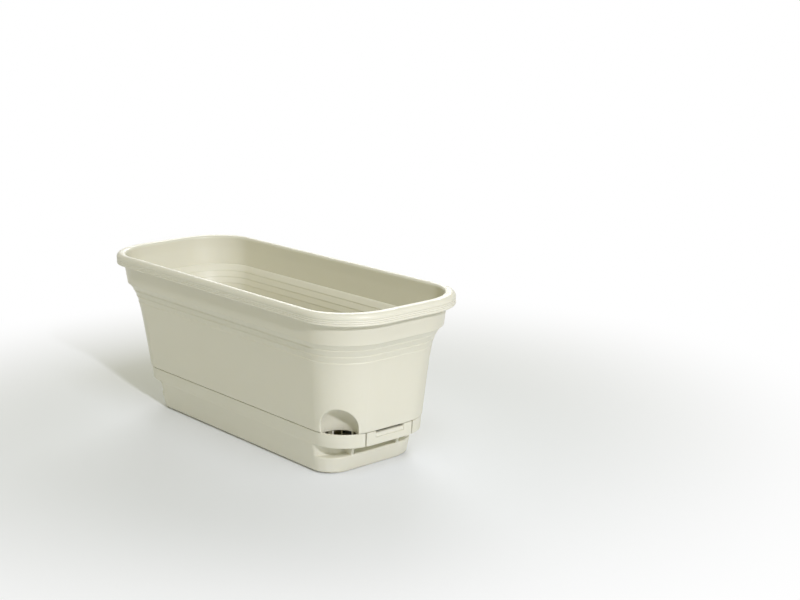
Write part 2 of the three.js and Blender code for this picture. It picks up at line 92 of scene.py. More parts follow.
SKIRT_OFFSET = 4.2
SKIRT_DRAFT = 0.8
SKIRT_WALL = 2.0
SKIRT_FOOT_Z = 32.7
SKIRT_EDGE = 0.5
LATCH_HALF_WIDTH = 13
# The lug that the tab's catch holds, as (x, z).
LUG_PROFILE = (
    (173.4, 34.5), (174.6, 34.5), (175.3, 36), (175.3, 36.75), (174.4, 37.5), (173.4, 37.5),
)

NICHE_RADIUS = 18.0
NICHE_TURN = math.radians(49)
NICHE_DROP = 1.5
NICHE_SPRING_Z = 50.0
NICHE_LIP = 2.0
NICHE_INNER_LIP = 3
NICHE_TOP_Z = 74
# Degrees to each side of the niche's middle, for the ends of its drop and for its two ribs.
NICHE_DROP_SPAN = 72
NICHE_RIB_SPAN = 28
NICHE_RIB_REACH = 20
NICHE_RIB_RADIUS = 1.1
NICHE_RIB_TOP_Z = 45.5
# What counts as the niche's lip, in depth and to each side of its edge, and its smoothing passes.
LIP_REACH = 14
LIP_WIDTH = 2.2
LIP_PASSES = 8

# The lower body's half length, half width and corner radius, and how they grow with height.
BASE = (150.5, 52.5, 20.0)
BASE_DRAFT = (0.3, 0.165, 0.25)
SHOULDER_Z = 17.5
# The step in to the pockets, as (share of their depth, drop below SHOULDER_Z).
SHOULDER_ROWS = ((0.06, 0.8), (0.18, 0.25), (0.38, 0.03), (0.7, 0), (0.92, -0.15), (0.99, -0.8))
TRAY_WALL = 2.0
TRAY_FLOOR_Z = 3.2
TRAY_ROUND = 2
FOOT_WIDTH = 10.5
# The foot's outer face, as (inset at the ends, inset at the long sides, z).
FOOT_ROWS = (
    (1.6, 4.8, 0.0), (1.0, 4.5, 0.3), (0.4, 4.3, 1.2), (0.3, 3.8, 1.6),
    (0.22, 0.9, 1.8), (0.14, 0.36, 2.0), (0.05, 0.12, 2.4), (0.0, 0.0, 3.0),
)
BAND_FOOT_Z = 30.4
BAND_TOP_Z = 43.75
BAND_SETBACK = 0.7
BAND_TAPER = 1.4
# The y of the one even face of band and lower body, and the x over which it comes to an end.
SIDE_FACE = 57.38
SIDE_FADE = (134, 150)
BAND_WALL = 2.2
FLANGE_TOP_Z = 32.4
POCKET_BACK = 147.0
POCKET_RIB_Y = 27.0
POCKET_RIB_HALF = 1.4
# How far round the corner from the end the pockets fade out, in degrees.
POCKET_FADE = (45, 84)

TAB_HALF_WIDTH = 26.5
SLIT = 1.6
TAB_GAP = 0.3
NOTCH_HALF_WIDTH = 16.5
NOTCH_DROP = 2.3
NOTCH_BEVEL = 2.7
NOTCH_BEVEL_DEPTH = 1.5
TAB_CORNER = 1.4
NOTCH_FOOT_DROP = NOTCH_DROP + 0.1 + NOTCH_BEVEL
# How low the skirt's top is cut behind the notches.
WINDOW_FOOT_Z = 41.2
# The tab's catch, as (x, z).
CATCH_PROFILE = (
    (177, 38.5), (177, 41.5), (176.2, 41.5), (175.6, 40), (175.6, 39.25), (176.2, 38.5),
)

PLATE_FOOT_Z = 53.3
PLATE_TOP_Z = 55.5
PLATE_GAP = 1.6
PLATE_EDGE = 0.4
# The size and the spacing of the platform's slots, along x and y.
PLATE_SLOT = (15.0, 3.6)
PLATE_PITCH = (23.0, 12.0)
LEG_XS = (-128.0, -30.0, 30.0, 128.0)
LEG_Y = 34.0
LEG_RADIUS = 3.5
LEG_FOOT_Z = 47.3

CUP_X = 78.0
CUP_HOLE_RADIUS = 26.2
# The ends of the cup's taper, as (radius, z).
CUP_TOP = (25.0, 55.8)
CUP_FOOT = (17.0, 5.5)
CUP_WALL = 1.8
CUP_FLANGE = (29.0, 57.8)
# The cup's slots, the z of their ends, and the points across each slot and between two.
CUP_SLOTS = 8
CUP_SLOT_HALF = 1.75
CUP_SLOT_ENDS = (8.5, 32.5)
CUP_ACROSS = 7
CUP_BETWEEN = 6
CUP_PERIOD = CUP_ACROSS + CUP_BETWEEN - 1

NICHE_X = RIM_HALF_LENGTH - JOINT_INSET[0] - JOINT_RADIUS * (1 - math.cos(NICHE_TURN))
NICHE_Y = -(RIM_HALF_WIDTH - JOINT_INSET[1] - JOINT_RADIUS * (1 - math.sin(NICHE_TURN)))

# Points with x beyond END_X are on an end, and points with y beyond SIDE_Y on a long side.
END_X = 150
SIDE_Y = 50
# Where the rings of the box and the platform, and those of the skirt, are cut across the ends.
BOX_YS = (-29, -22, -15, -7.5, 0, 7.5, 15, 22, 29)
SKIRT_YS = (-29, -22, -16.6, -16.4, -7.5, 0, 7.5, 16.4, 16.6, 22, 29)
# The width over which a ring steps in or out at a straight edge.
STEP_WIDTH = 0.06

# ---- Camera, lights and floor, in metres -------------------------------------------------------

CAMERA_LENS = 64.3
CAMERA_PLACE = (1.15266, -0.78992, 0.46259)
CAMERA_BACK = (0.75013, -0.61942, 0.23155)
CAMERA_RIGHT = (0.63946, 0.76867, -0.01532)

# Each lamp's name, place, aim, size, power and colour: a small hard key at the camera's right, a
# large soft one behind the object for the views from there, and a soft one over the right end.
LAMPS = (
    ("key", (2.73, -0.73, 1.58), (0, 0, 0.08), (0.14, 0.14), 46, (0.91, 0.905, 1.0)),
    ("back", (-1.6, 1.3, 1.2), (0, 0, 0.08), (1.2, 1.0), 16, (0.97, 0.98, 1.0)),
    ("side_top", (0.95, -0.25, 1.5), (0.4, -0.1, 0), (0.7, 0.7), 7.4, (0.85, 0.89, 1.0)),
)

FILL_COLOR = (1, 0.96, 0.58, 1)
FILL_STRENGTH = 0.31
FLOOR_COLOR = (0.9, 0.92, 0.97, 1)
FLOOR_RADIUS = 3.0
FLOOR_FADE = (0.22, 0.62)


def make_camera():
    """The camera that took the photo, from a fit to the rim, the joint, the base and the corner."""
    data = bpy.data.cameras.new("camera")
    data.lens = CAMERA_LENS
    data.sensor_width = 36
    data.clip_start = 0.01
    data.clip_end = 50
    camera = bpy.data.objects.new("camera", data)
    bpy.context.collection.objects.link(camera)
    back = Vector(CAMERA_BACK).normalized()
    right = Vector(CAMERA_RIGHT).normalized()
    up = back.cross(right).normalized()
    right = up.cross(back).normalized()
    turn = Matrix((right, up, back)).transposed()
    camera.matrix_world = Matrix.Translation(CAMERA_PLACE) @ turn.to_4x4()
    bpy.context.scene.camera = camera


def make_area_light(name, place, aim, size, power, color):
    data = bpy.data.lights.new(name, "AREA")
    data.shape = "RECTANGLE"
    data.size, data.size_y = size
    data.energy = power
    data.color = color
    light = bpy.data.objects.new(name, data)
    bpy.context.collection.objects.link(light)
    direction = Vector(place) - Vector(aim)
    turn = direction.to_track_quat("Z", "Y").to_matrix()
    light.matrix_world = Matrix.Translation(place) @ turn.to_4x4()


def background_rays(nodes, links):
    """1 for the rays that look at the background, straight or through gloss and glass, else 0."""
    path = nodes.new("ShaderNodeLightPath")
    total = path.outputs["Is Camera Ray"]
    for ray in ("Is Glossy Ray", "Is Transmission Ray"):
        both = nodes.new("ShaderNodeMath")
        both.operation = "MAXIMUM"
        links.new(total, both.inputs[0])
        links.new(path.outputs[ray], both.inputs[1])
        total = both.outputs["Value"]
    return total


def make_world():
    """Soft warm light for the object, and plain white behind it."""
    world = bpy.data.worlds.new("world")
    bpy.context.scene.world = world
    world.use_nodes = True
    nodes, links = world.node_tree.nodes, world.node_tree.links
    nodes.clear()
    seen = nodes.new("ShaderNodeBackground")
    seen.inputs["Color"].default_value = (1, 1, 1, 1)
    seen.inputs["Strength"].default_value = 1.0
    fill = nodes.new("ShaderNodeBackground")
    fill.inputs["Color"].default_value = FILL_COLOR
    fill.inputs["Strength"].default_value = FILL_STRENGTH
    mix = nodes.new("ShaderNodeMixShader")
    out = nodes.new("ShaderNodeOutputWorld")
    links.new(background_rays(nodes, links), mix.inputs["Fac"])
    links.new(fill.outputs["Background"], mix.inputs[1])
    links.new(seen.outputs["Background"], mix.inputs[2])
    links.new(mix.outputs["Shader"], out.inputs["Surface"])


def floor_material():
    """A pale matt surface that fades into white away from the middle."""
    material = bpy.data.materials.new("floor")
    material.use_nodes = True
    nodes, links = material.node_tree.nodes, material.node_tree.links
    shader = nodes["Principled BSDF"]
    shader.inputs["Base Color"].default_value = FLOOR_COLOR
    shader.inputs["Roughness"].default_value = 0.7
    shader.inputs["Specular IOR Level"].default_value = 0.1
    where = nodes.new("ShaderNodeTexCoord")
    spread = nodes.new("ShaderNodeVectorMath")
    spread.operation = "LENGTH"
    fade = nodes.new("ShaderNodeMapRange")
    fade.interpolation_type = "SMOOTHSTEP"
    fade.inputs["From Min"].default_value = FLOOR_FADE[0]
    fade.inputs["From Max"].default_value = FLOOR_FADE[1]
    white = nodes.new("ShaderNodeEmission")
    white.inputs["Color"].default_value = (1, 1, 1, 1)
    both = nodes.new("ShaderNodeMath")
    both.operation = "MULTIPLY"
    mix = nodes.new("ShaderNodeMixShader")
    links.new(where.outputs["Object"], spread.inputs[0])
    links.new(spread.outputs["Value"], fade.inputs["Value"])
    links.new(fade.outputs["Result"], both.inputs[0])
    links.new(background_rays(nodes, links), both.inputs[1])
    links.new(both.outputs["Value"], mix.inputs["Fac"])
    links.new(shader.outputs["BSDF"], mix.inputs[1])
    links.new(white.outputs["Emission"], mix.inputs[2])
    links.new(mix.outputs["Shader"], nodes["Material Output"].inputs["Surface"])
    return material


def make_floor():
    """A round floor that takes the object's shadow."""
    bm = bmesh.new()
    bmesh.ops.create_circle(bm, cap_ends=True, segments=96, radius=FLOOR_RADIUS)
    mesh = bpy.data.meshes.new("floor")
    bm.to_mesh(mesh)
    bm.free()
    mesh.materials.append(floor_material())
    floor = bpy.data.objects.new("floor", mesh)
    bpy.context.collection.objects.link(floor)


# ---- The moulded plastic -----------------------------------------------------------------------


def moulded_plastic(name, color, warm, roughness=0.36):
    """Satin moulded plastic: faintly cloudy, with a fine spark texture and slow surface waves."""
    material = bpy.data.materials.new(name)
    material.use_nodes = True
    nodes, links = material.node_tree.nodes, material.node_tree.links
    shader = nodes["Principled BSDF"]
    where = nodes.new("ShaderNodeTexCoord")

    def noise(scale, detail, rough=0.5):
        node = nodes.new("ShaderNodeTexNoise")
        node.inputs["Scale"].default_value = scale
        node.inputs["Detail"].default_value = detail
        node.inputs["Roughness"].default_value = rough
        links.new(where.outputs["Object"], node.inputs["Vector"])
        return node

    cloud = noise(scale=22, detail=4)
    tint = nodes.new("ShaderNodeMix")
    tint.data_type = "RGBA"
    tint.inputs["A"].default_value = (*color, 1)
    tint.inputs["B"].default_value = (*warm, 1)
    links.new(cloud.outputs["Fac"], tint.inputs["Factor"])
    links.new(tint.outputs["Result"], shader.inputs["Base Color"])

    sheen = nodes.new("ShaderNodeMapRange")
    sheen.inputs["From Min"].default_value = 0.3
    sheen.inputs["From Max"].default_value = 0.7
    sheen.inputs["To Min"].default_value = roughness - 0.03
    sheen.inputs["To Max"].default_value = roughness + 0.05
    links.new(noise(scale=60, detail=3).outputs["Fac"], sheen.inputs["Value"])
    links.new(sheen.outputs["Result"], shader.inputs["Roughness"])

    grain = nodes.new("ShaderNodeBump")
    grain.inputs["Strength"].default_value = 0.12
    grain.inputs["Distance"].default_value = 0.00008
    links.new(noise(scale=2600, detail=3, rough=0.6).outputs["Fac"], grain.inputs["Height"])
    waves = nodes.new("ShaderNodeBump")
    waves.inputs["Strength"].default_value = 0.25
    waves.inputs["Distance"].default_value = 0.0006
    links.new(noise(scale=9, detail=1).outputs["Fac"], waves.inputs["Height"])
    links.new(waves.outputs["Normal"], grain.inputs["Normal"])
    links.new(grain.outputs["Normal"], shader.inputs["Normal"])

    shader.inputs["Specular IOR Level"].default_value = 0.45
    shader.inputs["Subsurface Weight"].default_value = 0.12
    shader.inputs["Subsurface Radius"].default_value = (0.004, 0.0035, 0.0025)
    shader.inputs["Subsurface Scale"].default_value = 1.0
    return material


# ---- Columns and rings -------------------------------------------------------------------------

SPLIT = math.radians(50)
SIDE_STEPS = 10


class Columns:
    """Where a ring's points stand round a rounded rectangle, the same on every ring.

    The ends are cut at fixed y, so that a feature there has straight sides on every ring. Beyond
    the last y a corner is divided in even steps of y up to 50 degrees, and then in even steps of
    angle. niche_finer says how many times finer the corner with the filler niche is divided.
    """

    def __init__(self, end_ys, corner_steps, niche_finer=1):
        self.end_ys = sorted(end_ys)
        self.limit = self.end_ys[-1]
        self.marks = [("y", 1, y) for y in self.end_ys]
        self._corner(1, 1, corner_steps, False)
        self._side(1, 1)
        self._corner(-1, 1, corner_steps, True)
        self.marks += [("y", -1, y) for y in reversed(self.end_ys)]
        self._corner(-1, -1, corner_steps, False)
        self._side(-1, -1)
        self._corner(1, -1, corner_steps * niche_finer, True)

    def _corner(self, sx, sy, steps, backward):
        run = [("m", sx, sy, k / steps) for k in range(1, steps)]
        for k in range(steps + 1):
            run.append(("a", sx, sy, SPLIT + (math.pi / 2 - SPLIT) * k / steps))
        self.marks += reversed(run) if backward else run

    def _side(self, sx, sy):
        self.marks += [("s", sy, sx * (1 - 2 * k / SIDE_STEPS)) for k in range(1, SIDE_STEPS)]

    def ring(self, half_length, half_width, radius, z):
        """The points at one height, for each mark in turn."""
        limit = self.limit
        straight = half_width - radius
        split_y = straight + radius * math.sin(SPLIT)

        def end_x(y):
            over = max(0.0, abs(y) - straight)
            return half_length - radius + math.sqrt(max(0.0, radius * radius - over * over))

        points = []
        for mark in self.marks:
            if mark[0] == "y":
                points.append(Vector((mark[1] * end_x(mark[2]), mark[2], z)))
            elif mark[0] == "m":
                y = limit + (split_y - limit) * mark[3]
                points.append(Vector((mark[1] * end_x(y), mark[2] * y, z)))
            elif mark[0] == "a":
                x = half_length - radius + radius * math.cos(mark[3])
                y = straight + radius * math.sin(mark[3])
                points.append(Vector((mark[1] * x, mark[2] * y, z)))
            else:
                points.append(Vector((mark[2] * (half_length - radius), mark[1] * half_width, z)))
        return points


def box_ring(columns, inset, offset, z):
    """A ring of the box, inset from the rim. Its corners are tighter the further it is inset."""
    radius = RIM_RADIUS - (RIM_RADIUS - JOINT_RADIUS) * inset[0] / JOINT_INSET[0]
    return columns.ring(
        RIM_HALF_LENGTH - inset[0] - offset, RIM_HALF_WIDTH - inset[1] - offset, radius - offset, z
    )


def body_inset(z):
    """How far the wall stands in from the rim: even draft, with a cove up to the flutes."""
    cove = math.exp((z - FLUTE_TOP_Z) / COVE_DECAY)
    return tuple(JOINT_INSET[i] - DRAFT[i] * (z - JOINT_Z) - COVE[i] * cove for i in (0, 1))


def smooth_max(a, b, width):
    """The larger of two values, rounded off over a width where they meet."""
    h = max(0.0, width - abs(a - b)) / width
    return max(a, b) + h * h * width / 4


DIAGONAL = Vector((math.cos(NICHE_TURN), -math.sin(NICHE_TURN), 0))
LATERAL = Vector((math.sin(NICHE_TURN), math.cos(NICHE_TURN), 0))
NICHE_AXIS = Vector((NICHE_X, NICHE_Y, 0))


def dent(points, radius, lip):
    """Presses the filler niche, a half-round well with a domed top, into a ring of points."""
    for p in points:
        off = Vector((p.x, p.y, 0)) - NICHE_AXIS
        depth = -off.dot(DIAGONAL)
        across = off.dot(LATERAL)
        if depth > radius * 1.5 or abs(across) > radius * 1.4 or p.x < 0:
            continue
        rise = max(0.0, p.z - NICHE_SPRING_Z)
        reach = math.hypot(across, rise)
        if reach < radius:
            well = math.sqrt(radius * radius - reach * reach)
        else:
            well = -4 * (reach - radius)  # a slope past the well's edge, for the lip to round off
        move = smooth_max(depth, well, lip) - depth
        p -= DIAGONAL * move
    return points


# ---- Meshes ------------------------------------------------------------------------------------


def add_object(name, bm, material, body, *nodes, sharp=35, slot="shell"):
    """Makes a piece from a mesh in millimetres, riding on a body and standing for CAD nodes."""
    bmesh.ops.recalc_face_normals(bm, faces=bm.faces)
    for vertex in bm.verts:
        vertex.co *= MM
    mesh = bpy.data.meshes.new(name)
    bm.to_mesh(mesh)
    bm.free()
    mesh.shade_smooth()
    mesh.set_sharp_from_angle(angle=math.radians(sharp))
    mesh.materials.append(material)
    piece = bpy.data.objects.new(name, mesh)
    bpy.context.collection.objects.link(piece)
    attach(piece, body)
    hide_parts(*nodes)


def join_loops(bm, low, high):
    """Quads between two closed loops of as many vertices."""
    for i in range(len(low)):
        j = (i + 1) % len(low)
        bm.faces.new((low[i], low[j], high[j], high[i]))


def add_rings(bm, rings):
    """Quads between neighbouring rings. Returns the rings as vertices."""
    made = [[bm.verts.new(p) for p in ring] for ring in rings]
    for low, high in zip(made, made[1:]):
        join_loops(bm, low, high)
    return made


def add_cap(bm, ring):
    """Fills a ring that the point in its middle sees all of."""
    centre = bm.verts.new((0, 0, ring[0].co.z))
    for i in range(len(ring)):
        bm.faces.new((ring[i], ring[(i + 1) % len(ring)], centre))


def fill_between(bm, loops):
    """A flat face inside the first loop and outside the others."""
    edges = []
    for loop in loops:
        for i in range(len(loop)):
            a, b = loop[i], loop[(i + 1) % len(loop)]
            edges.append(bm.edges.get((a, b)) or bm.edges.new((a, b)))
    bmesh.ops.triangle_fill(bm, edges=edges, use_beauty=True, use_dissolve=False)


def add_strip(bm, profiles):
    """A bar through a list of closed profiles, capped at both ends."""
    made = add_rings(bm, profiles)
    bm.faces.new(made[0])
    bm.faces.new(made[-1])


def steps(low, high, count):
    """Even steps from low to high, with both of them."""
    return [low + (high - low) * k / count for k in range(count + 1)]


def arc_rows(count, start, end):
    """Cosines and sines of a run of angles, in degrees."""
    angles = [math.radians(a) for a in steps(start, end, count)]
    return [(math.cos(a), math.sin(a)) for a in angles]


def slot_outline(x, y, reach, radius):
    """A round-ended slot along x, as a closed line of (x, y)."""
    line = [(x + reach + radius * c, y + radius * s) for c, s in arc_rows(8, -90, 90)]
    line += [(x - reach + radius * c, y + radius * s) for c, s in arc_rows(8, 90, 270)]
    return line


def cup_hole_outline(end, radius):
    """The hole for the cup at one end, as a closed line of (x, y)."""
    return [(end * CUP_X + radius * c, radius * s) for c, s in arc_rows(64, 0, 360)[:-1]]


# ---- The planter box ---------------------------------------------------------------------------


def between(low, high, share):
    """An inset part of the way from one to another."""
    return tuple(a + (b - a) * share for a, b in zip(low, high))


def wall_rows(fine):
    """The wall's face from the floor up to the rim, as (inset, extra offset, z)."""
    rows = [(body_inset(z), 0, z) for z in steps(JOINT_Z + 0.6, 72, 56 if fine else 26)]
    rows += [(body_inset(z), 0, z) for z in steps(75, FLUTE_FOOT_Z - 2, 12)]
    for flute in range(FLUTE_COUNT):
        foot = FLUTE_FOOT_Z + flute * FLUTE_HEIGHT
        for height, depth in LEDGE_ROWS:
            z = foot + height * FLUTE_LEDGE
            rows.append((body_inset(z), depth * FLUTE_DEPTH, z))
        for share in steps(0.3, 0.8, 2):
            z = foot + share * FLUTE_HEIGHT
            rows.append((body_inset(z), FLUTE_DEPTH * (1 - share), z))
    top = body_inset(FLUTE_TOP_Z)
    for share, rise in COLLAR_EDGE:
        z = FLUTE_TOP_Z + rise * (COLLAR_FOOT_Z - FLUTE_TOP_Z)
        rows.append((between(top, COLLAR_FOOT, share), 0, z))
    for share in steps(0.03, 1, 6):
        z = COLLAR_FOOT_Z + (RIM_FOOT_Z - COLLAR_FOOT_Z) * share
        rows.append((between(COLLAR_FOOT, COLLAR_TOP, share), 0, z))
    return rows


def rim_rows():
    """The gutter behind the rim, then the rim's lower edge, reeded face and bead."""
    none = (0, 0)
    gutter_side = GUTTER_TOP_Z - GUTTER_ROUND
    edge_z = RIM_FOOT_Z + RIM_EDGE
    rows = [(COLLAR_TOP, 0, z) for z in steps(RIM_FOOT_Z + 1, gutter_side, 3)]
    rows.append((COLLAR_TOP, -GUTTER_ROUND, GUTTER_TOP_Z))
    rows.append((none, RIM_LIP + GUTTER_ROUND, GUTTER_TOP_Z))
    rows += [(none, RIM_LIP, gutter_side), (none, RIM_LIP, edge_z)]
    for c, s in arc_rows(4, 160, 90):
        rows.append((none, RIM_LIP - RIM_EDGE - RIM_EDGE * c, edge_z - RIM_EDGE * s))
    for c, s in arc_rows(5, 90, 0):
        rows.append((none, RIM_EDGE - RIM_EDGE * c, edge_z - RIM_EDGE * s))
    for z in REED_ZS:
        for share in steps(-1, 1, 8):
            groove = REED_DEPTH * math.cos(share * math.pi / 2) ** 1.5
            rows.append((none, groove, z + share * REED_HALF_WIDTH))
    for c, s in arc_rows(12, 0, 90):
        rows.append((none, BEAD_RADIUS * (1 - c), HEIGHT - BEAD_RADIUS * (1 - s)))
    return rows


def inner_rows():
    """The inside, from the crown of the rim down to the floor."""
    rows = []
    for c, s in arc_rows(8, 90, 0):
        rows.append((COLLAR_TOP, WALL - CROWN_ROUND * (1 - c), HEIGHT - CROWN_ROUND * (1 - s)))
    for inset, offset, z in reversed(wall_rows(False)):
        if z > FLOOR_TOP_Z + 0.6:
            rows.append((inset, offset * 0.9 + WALL, z))
    rows.append((body_inset(FLOOR_TOP_Z), WALL + 0.2, FLOOR_TOP_Z + 0.25))
    return rows


def hole_outlines():
    """The drain slots and the two cup holes in the box's floor, as closed lines of (x, y)."""
    holes = [cup_hole_outline(end, CUP_HOLE_RADIUS) for end in (-1, 1)]
    for column in range(-3, 4):
        for side in (-1, 1):
            beside_niche = column == 3 and side < 0
            if not beside_niche:
                x, y = column * DRAIN_PITCH, side * DRAIN_Y
                holes.append(slot_outline(x, y, DRAIN_REACH, DRAIN_RADIUS))
    return holes


def close_floor(bm, under, over):
    """The box's floor with its holes, between the lowest outer ring and the lowest inner one."""
    lows, highs = [under], [over]
    for hole in hole_outlines():
        low = [bm.verts.new((x, y, under[0].co.z)) for x, y in hole]
        high = [bm.verts.new((x, y, over[0].co.z)) for x, y in hole]
        join_loops(bm, low, high)
        lows.append(low)
        highs.append(high)
    fill_between(bm, lows)
    fill_between(bm, highs)


def soften_lip(bm, rings):
    """Rounds the niche's edge, where the rings' points cross it at a slant. The foot stays."""
    near = []
    for ring in rings[3:]:
        if ring[0].co.z > NICHE_TOP_Z:
            break
        for vertex in ring:
            off = Vector((vertex.co.x, vertex.co.y, 0)) - NICHE_AXIS
            if abs(off.dot(DIAGONAL)) < LIP_REACH and vertex.co.x > 0:
                rise = max(0.0, vertex.co.z - NICHE_SPRING_Z)
                if abs(math.hypot(off.dot(LATERAL), rise) - NICHE_RADIUS) < LIP_WIDTH:
                    near.append(vertex)
    for _ in range(LIP_PASSES):
        bmesh.ops.smooth_vert(
            bm, verts=near, factor=0.5, use_axis_x=True, use_axis_y=True, use_axis_z=True
        )


def make_box(material):
    """The box's walls, rim and pierced floor as one skin, with the niche pressed in."""
    columns = Columns(BOX_YS, 16, niche_finer=5)
    under = [(body_inset(JOINT_Z), 0.6, JOINT_Z), (body_inset(JOINT_Z), 0.18, JOINT_Z + 0.18)]
    outer = [box_ring(columns, *row) for row in under + wall_rows(True) + rim_rows()]
    inner = [box_ring(columns, *row) for row in inner_rows()]
    for ring in outer:
        if ring[0].z < NICHE_TOP_Z:
            dent(ring, NICHE_RADIUS, NICHE_LIP)
    for ring in inner:
        if ring[0].z < NICHE_TOP_Z + 2:
            dent(ring, NICHE_RADIUS + WALL, NICHE_INNER_LIP)
    floor_edge = box_ring(columns, body_inset(FLOOR_TOP_Z), WALL + 0.8, FLOOR_TOP_Z)
    inner.append(dent(floor_edge, NICHE_RADIUS + WALL + 0.6, NICHE_INNER_LIP))
    bm = bmesh.new()
    made = add_rings(bm, outer + inner)
    soften_lip(bm, made[: len(outer)])
    close_floor(bm, made[0], made[-1])
    add_object("box_shell", bm, material, "box", "planter_box", sharp=50)


def niche_drop():
    """The niche's back wall, carried a little way below the floor, as closed profiles."""
    near, far = NICHE_RADIUS, NICHE_RADIUS + WALL
    low, high = JOINT_Z - NICHE_DROP, JOINT_Z + 0.6
    line = [(near, high), (near, low + 0.4), (near + 0.4, low)]
    line += [(far - 0.4, low), (far, low + 0.4), (far, high)]
    middle = math.degrees(math.pi - NICHE_TURN)
    turns = arc_rows(40, middle - NICHE_DROP_SPAN, middle + NICHE_DROP_SPAN)
    return [[Vector((NICHE_X + r * c, NICHE_Y + r * s, z)) for r, z in line] for c, s in turns]


def past_niche(ring):
    """The places in the ring outside the niche, in order from one side of it to the other."""
    kept = []
    for i, p in enumerate(ring):
        if math.hypot(p.x - NICHE_X, p.y - NICHE_Y) > NICHE_RADIUS:
            kept.append(i)
    start = next(k for k in range(len(kept)) if kept[k] != kept[k - 1] + 1 and kept[k] != 0)
    return kept[start:] + kept[:start]


def skirt_wall():
    """The skirt's closed profiles, open at the niche and let down behind the tabs' notches."""
    columns = Columns(SKIRT_YS, 16, niche_finer=5)
    inside = SKIRT_OFFSET + SKIRT_DRAFT + SKIRT_WALL
    outer_top = box_ring(columns, JOINT_INSET, SKIRT_OFFSET, JOINT_Z + SKIRT_EDGE)
    outer_low = box_ring(columns, JOINT_INSET, SKIRT_OFFSET + SKIRT_DRAFT, SKIRT_FOOT_Z)
    inner_top = box_ring(columns, JOINT_INSET, inside, JOINT_Z + SKIRT_EDGE)
    inner_low = box_ring(columns, JOINT_INSET, inside, SKIRT_FOOT_Z)
    lift = Vector((0, 0, SKIRT_EDGE))
    profiles = []
    for i in past_niche(outer_top):
        a, b, c, d = outer_low[i], outer_top[i], inner_top[i], inner_low[i]
        if abs(b.x) > END_X and abs(b.y) < NOTCH_HALF_WIDTH:
            b.z = c.z = WINDOW_FOOT_Z
        side = (d - a).normalized() * SKIRT_EDGE
        profiles.append([a + lift, b, c, d + lift, d - side, a + side])
    return profiles


def niche_rib(span):
    """A rib under the niche's back edge, some degrees round from its middle, as two rings."""
    angle = math.pi - NICHE_TURN + math.radians(span)
    x = NICHE_X + NICHE_RIB_REACH * math.cos(angle)
    y = NICHE_Y + NICHE_RIB_REACH * math.sin(angle)
    circle = [(x + NICHE_RIB_RADIUS * c, y + NICHE_RIB_RADIUS * s) for c, s in arc_rows(12, 0, 330)]
    return [[Vector((cx, cy, z)) for cx, cy in circle] for z in (SKIRT_FOOT_Z, NICHE_RIB_TOP_Z)]


def latch_bar(profile, end):
    """A bar across one end, for the lug or the catch."""
    ys = (-LATCH_HALF_WIDTH, LATCH_HALF_WIDTH)
    return [[Vector((end * x, y, z)) for x, z in profile] for y in ys]


def make_skirt(material):
    """The locating skirt under the floor, the niche's drop and ribs, and the lugs at the ends."""
    bm = bmesh.new()
    add_strip(bm, niche_drop())
    add_strip(bm, skirt_wall())
    for span in (-NICHE_RIB_SPAN, NICHE_RIB_SPAN):
        add_strip(bm, niche_rib(span))
    for end in (-1, 1):
        add_strip(bm, latch_bar(LUG_PROFILE, end))
    add_object("box_skirt", bm, material, "box", "planter_box")


# ---- The reservoir tray ------------------------------------------------------------------------


def soft_step(value, low, high):
    """0 below low, 1 above high and an even S between them."""
    share = min(1.0, max(0.0, (value - low) / (high - low)))
    return share * share * (3 - 2 * share)


def merge_sides(rows):
    """Makes the lower body and the band one even face along the two long sides."""
    for points in rows:
        for p in points:
            if abs(p.y) > SIDE_Y:
                away = soft_step(abs(p.x), *SIDE_FADE)
                p.y = math.copysign(SIDE_FACE + (abs(p.y) - SIDE_FACE) * away, p.y)
                p.z = BAND_FOOT_Z + (p.z - BAND_FOOT_Z) * (1 + 2 * (1 - away))


def flared(z):
    """The lower body's half length, half width and corner radius at one height."""
    return tuple(size + draft * z for size, draft in zip(BASE, BASE_DRAFT))


def tray_ring(columns, offset, z, pocket=0.0):
    """A ring of the lower body. pocket says how far the end pockets are cut in, from 0 to 1."""
    half_length, half_width, radius = flared(z)
    points = columns.ring(half_length - offset, half_width - offset, radius - offset, z)
    depth = (half_length + offset - POCKET_BACK) * pocket
    for p in points:
        out_x = abs(p.x) - (half_length - radius)
        out_y = max(0.0, abs(p.y) - (half_width - radius))
        in_rib = abs(abs(p.y) - POCKET_RIB_Y) <= POCKET_RIB_HALF + 0.01
        if out_x > 0 and not in_rib:
            turn = math.atan2(out_y, out_x)
            cut = depth * (1 - soft_step(math.degrees(turn), *POCKET_FADE))
            p.x -= math.copysign(cut * math.cos(turn), p.x)
            p.y -= math.copysign(cut * math.sin(turn), p.y)
    return points


def foot_ring(columns, inset_x, inset_y, z):
    """A ring of the foot, which is set back further under the long sides than under the ends."""
    half_length, half_width, radius = flared(z)
    return columns.ring(half_length - inset_x, half_width - inset_y, radius - inset_x, z)


def water_ring(columns, offset, z, back=math.inf):
    """A ring of the water space, no longer at the ends than the pockets' backs allow."""
    half_length, half_width, radius = flared(z)
    return columns.ring(min(half_length, back) - offset, half_width - offset, radius - offset, z)


def band_taper(z):
    return BAND_TAPER * (BAND_TOP_Z - z) / (BAND_TOP_Z - BAND_FOOT_Z)


def band_ring(columns, offset, z):
    """A ring of the band, let down onto the flange where the latch tabs stand in it."""
    taper = band_taper(z)
    points = box_ring(columns, JOINT_INSET, BAND_SETBACK + offset + taper, z)
    inner = max(offset + taper, BAND_TAPER + BAND_WALL + TAB_GAP)
    let_down = box_ring(columns, JOINT_INSET, BAND_SETBACK + inner, z)
    for p, q in zip(points, let_down):
        if abs(p.y) < TAB_HALF_WIDTH + SLIT - 0.01 and abs(p.x) > END_X:
            p.x, p.y, p.z = q.x, q.y, min(p.z, FLANGE_TOP_Z)
    return points


